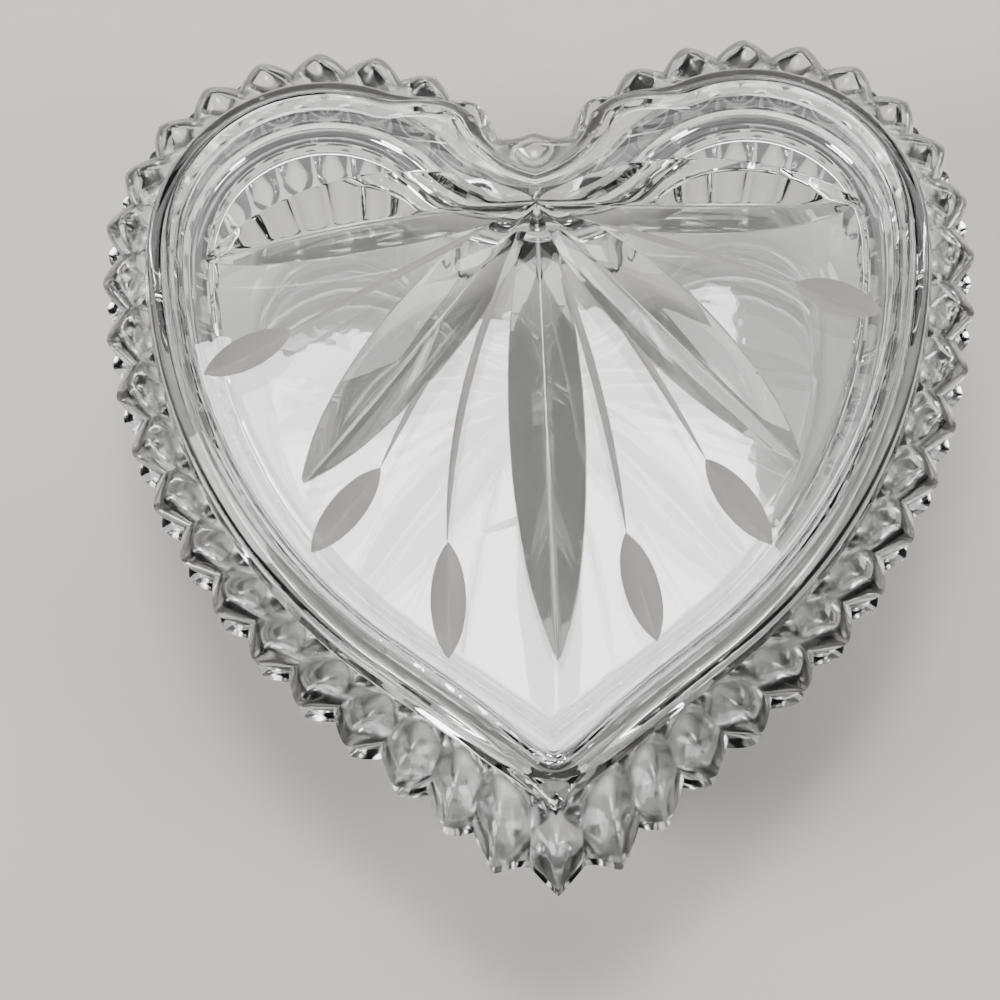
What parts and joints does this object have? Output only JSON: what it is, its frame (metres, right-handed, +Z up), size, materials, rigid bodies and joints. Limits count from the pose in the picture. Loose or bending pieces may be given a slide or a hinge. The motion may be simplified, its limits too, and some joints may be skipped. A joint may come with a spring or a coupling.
{
  "type": "trinket box",
  "caption": "Heart-shaped cut-glass trinket box with a toothed rim and a lift-off lid with a raised heart field cut with leaves and buds.",
  "frame": {"origin": "on the table under the middle of the box's outline", "axes": "+Z up, +Y from the heart's tip towards its notch, +X to the right with the tip towards the viewer"},
  "size_m": [0.1272, 0.1265, 0.0475],
  "materials": {
    "base_glass": "fire-polished clear glass",
    "lid_glass": "fire-polished clear glass with wheel-cut leaves and matt buds and stems"
  },
  "bodies": {
    "base": {"base": "base_glass"},
    "lid": {"lid": "lid_glass"}
  },
  "joints": [
    {"name": "lid_lift", "type": "slide", "parent": "base", "child": "lid", "axis": [0, 0, 1], "range_m": [0, 0.06]}
  ]
}
